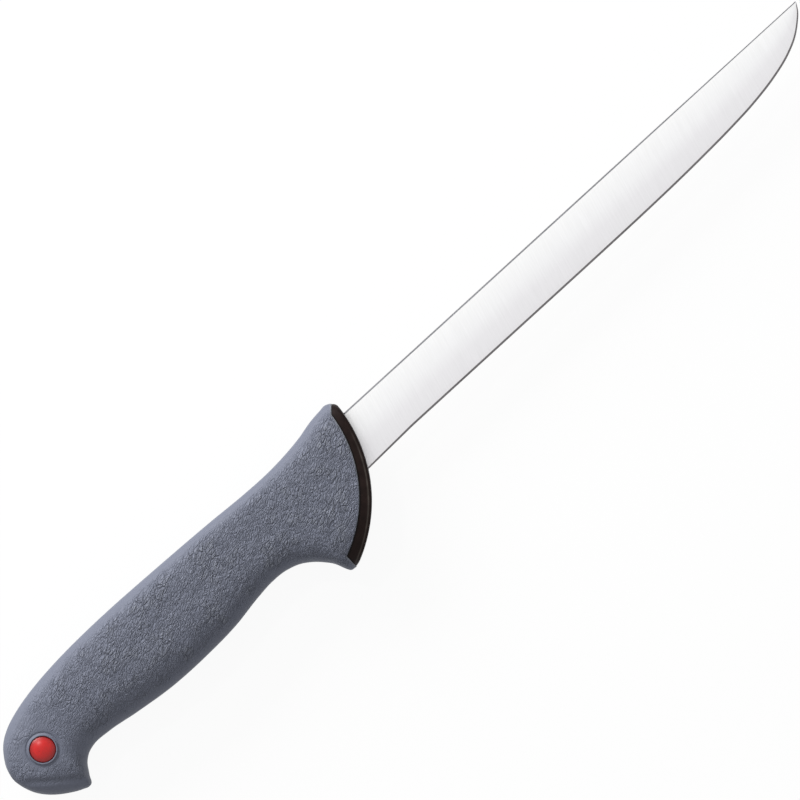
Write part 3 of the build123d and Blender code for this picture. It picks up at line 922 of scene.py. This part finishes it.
def grained_elastomer():
    """Blue-grey thermoplastic elastomer, moulded with a leather grain: matt and slightly waxy.
    The grain is short strokes about 0.4 mm wide and small cells, with longer veins in patches.
    Its low places are a touch darker, painted shade, and the lip and the ring round the button lighter,
    painted highlights."""
    material = bpy.data.materials.new("grained_elastomer")
    material.use_nodes = True
    tree = material.node_tree
    shader = tree.nodes["Principled BSDF"]
    share = add(tree, "Attribute", attribute_name="grain").outputs["Fac"]
    place = add(tree, "TexCoord").outputs["Object"]
    bend = add(tree, "TexNoise", {"Vector": place, "Scale": 1 / (BEND_SIZE * MM), "Detail": 1.0})
    swing = {0: bend.outputs["Color"], 1: (BEND_SWING * MM,) * 3, 2: place}
    bent = add(tree, "VectorMath", swing, operation="MULTIPLY_ADD").outputs[0]
    turned = add(tree, "Mapping", {"Vector": bent, "Rotation": (0, 0, -radians(GRAIN_ANGLE))}).outputs[0]
    fine = tuple(1 / (size * MM) for size in STROKE_SIZE)
    stroke_place = add(tree, "Mapping", {"Vector": turned, "Scale": fine}).outputs[0]
    strokes = add(tree, "TexNoise", {"Vector": stroke_place, "Scale": 1.0, "Detail": 2.5})
    patches = add(tree, "TexNoise", {"Vector": place, "Scale": 1 / (VEIN_PATCH_SIZE * MM), "Detail": 1.0})
    first, full = VEIN_PATCH
    patch = add(tree, "MapRange", {"Value": patches.outputs["Fac"], "From Min": first, "From Max": full})
    relief = add(tree, "Math", {0: strokes.outputs["Fac"], 1: STROKE_SHARE}, operation="MULTIPLY")
    cell = (CELL_SIZE, CELL_WALL, CELL_SHARE, 1.0)
    vein = (VEIN_SIZE, VEIN_WALL, VEIN_SHARE, patch.outputs[0])
    for size, wall, part, shown in (cell, vein):
        wide = tuple(1 / (length * MM) for length in size)
        cell_place = add(tree, "Mapping", {"Vector": turned, "Scale": wide}).outputs[0]
        cells = add(tree, "TexVoronoi", {"Vector": cell_place, "Scale": 1.0}, feature="DISTANCE_TO_EDGE")
        rise = {"Value": cells.outputs["Distance"], "From Max": wall, "To Max": part}
        walls = add(tree, "MapRange", rise, interpolation_type="SMOOTHSTEP").outputs[0]
        relief = add(tree, "Math", {0: walls, 1: shown, 2: relief.outputs[0]}, operation="MULTIPLY_ADD")
    height = add(tree, "Math", {0: relief.outputs[0], 1: share}, operation="MULTIPLY").outputs[0]
    # The lip attribute holds painted highlights on the grip's lip and on the ring round each button half.
    lip = add(tree, "Attribute", attribute_name="lip").outputs["Fac"]
    painted_light_level = add(tree, "Math", {0: lip, 1: LIP_HIGHLIGHT, 2: height}, operation="MULTIPLY_ADD").outputs[0]
    painted_light_place = add(tree, "MapRange", {"Value": painted_light_level, "From Max": SHADE_AND_HIGHLIGHT_RANGE}).outputs[0]
    tone = add(tree, "ValToRGB", {"Fac": painted_light_place})
    # 686c7a to 717583 is painted shade, darker in the grain's low places; 8d9197 is a painted highlight for
    # the lip and the ring round the button.
    tone.color_ramp.elements[0].color = linear("686c7a")
    tone.color_ramp.elements[1].color = linear("8d9197")
    tone.color_ramp.elements.new(0.5).color = linear("717583")
    tree.links.new(tone.outputs["Color"], shader.inputs["Base Color"])
    bump = add(tree, "Bump", {"Height": height, "Strength": 1.0, "Distance": GRAIN_DEPTH * MM})
    tree.links.new(bump.outputs[0], shader.inputs["Normal"])
    shader.inputs["Roughness"].default_value = 0.55
    shader.inputs["Specular IOR Level"].default_value = 0.25
    return material


grip_points, grip_faces, grain_shares, highlight_shares = grip_mesh(turns)
grip = piece("grained_grip", grip_points, grip_faces, [grained_elastomer()])
grain = grip.data.attributes.new("grain", "FLOAT", "POINT")
grain.data.foreach_set("value", grain_shares)
lip = grip.data.attributes.new("lip", "FLOAT", "POINT")
lip.data.foreach_set("value", highlight_shares)
grip.data.set_sharp_from_angle(angle=radians(50.0))
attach(grip, "knife")
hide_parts("soft_grip")


# Colour buttons: two domed halves in glossy red plastic, which plug into each other through
# the bore and can be pulled out to change the knife's colour.
DOME_SHADE = (2.6, 4.3)
DOME_RIM_SHADE = 0.5
FLOW_SIZE = 1.667


def button_plastic():
    """Red moulded polypropylene with a high gloss, as it comes from a polished mould. It is darker towards
    the head's rim, painted shade where the dome turns down."""
    material = bpy.data.materials.new("glossy_red_plastic")
    material.use_nodes = True
    tree = material.node_tree
    shader = tree.nodes["Principled BSDF"]
    place = add(tree, "TexCoord").outputs["Object"]
    flow = add(tree, "TexNoise", {"Vector": place, "Scale": 1 / (FLOW_SIZE * MM), "Detail": 2.0})
    tone = add(tree, "ValToRGB", {"Fac": flow.outputs["Fac"]})
    tone.color_ramp.elements[0].color = linear("b40c0c")
    tone.color_ramp.elements[1].color = linear("c81412")
    # Painted shade: the colour darkens from 2.6 mm to 4.3 mm out from the button's axis.
    axis = START + MM * np.array([BUTTON_X, BUTTON_Y, 0.0])
    flat = add(tree, "VectorMath", {0: place, 1: (1.0, 1.0, 0.0)}, operation="MULTIPLY")
    centre = (axis[0], axis[1], 0.0)
    away = add(tree, "VectorMath", {0: flat.outputs[0], 1: centre}, operation="DISTANCE")
    inner, outer = (radius * MM for radius in DOME_SHADE)
    fall = {"Value": away.outputs["Value"], "From Min": inner, "From Max": outer}
    rim = add(tree, "MapRange", {**fall, "To Min": 1.0, "To Max": DOME_RIM_SHADE})
    shade = add(tree, "VectorMath", {0: tone.outputs["Color"], 3: rim.outputs[0]}, operation="SCALE")
    tree.links.new(shade.outputs[0], shader.inputs["Base Color"])
    shader.inputs["Roughness"].default_value = 0.3
    shader.inputs["Specular IOR Level"].default_value = 0.5
    return material


red = button_plastic()
for name in ("button_front", "button_back"):
    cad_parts[name].material_slots[0].material = red
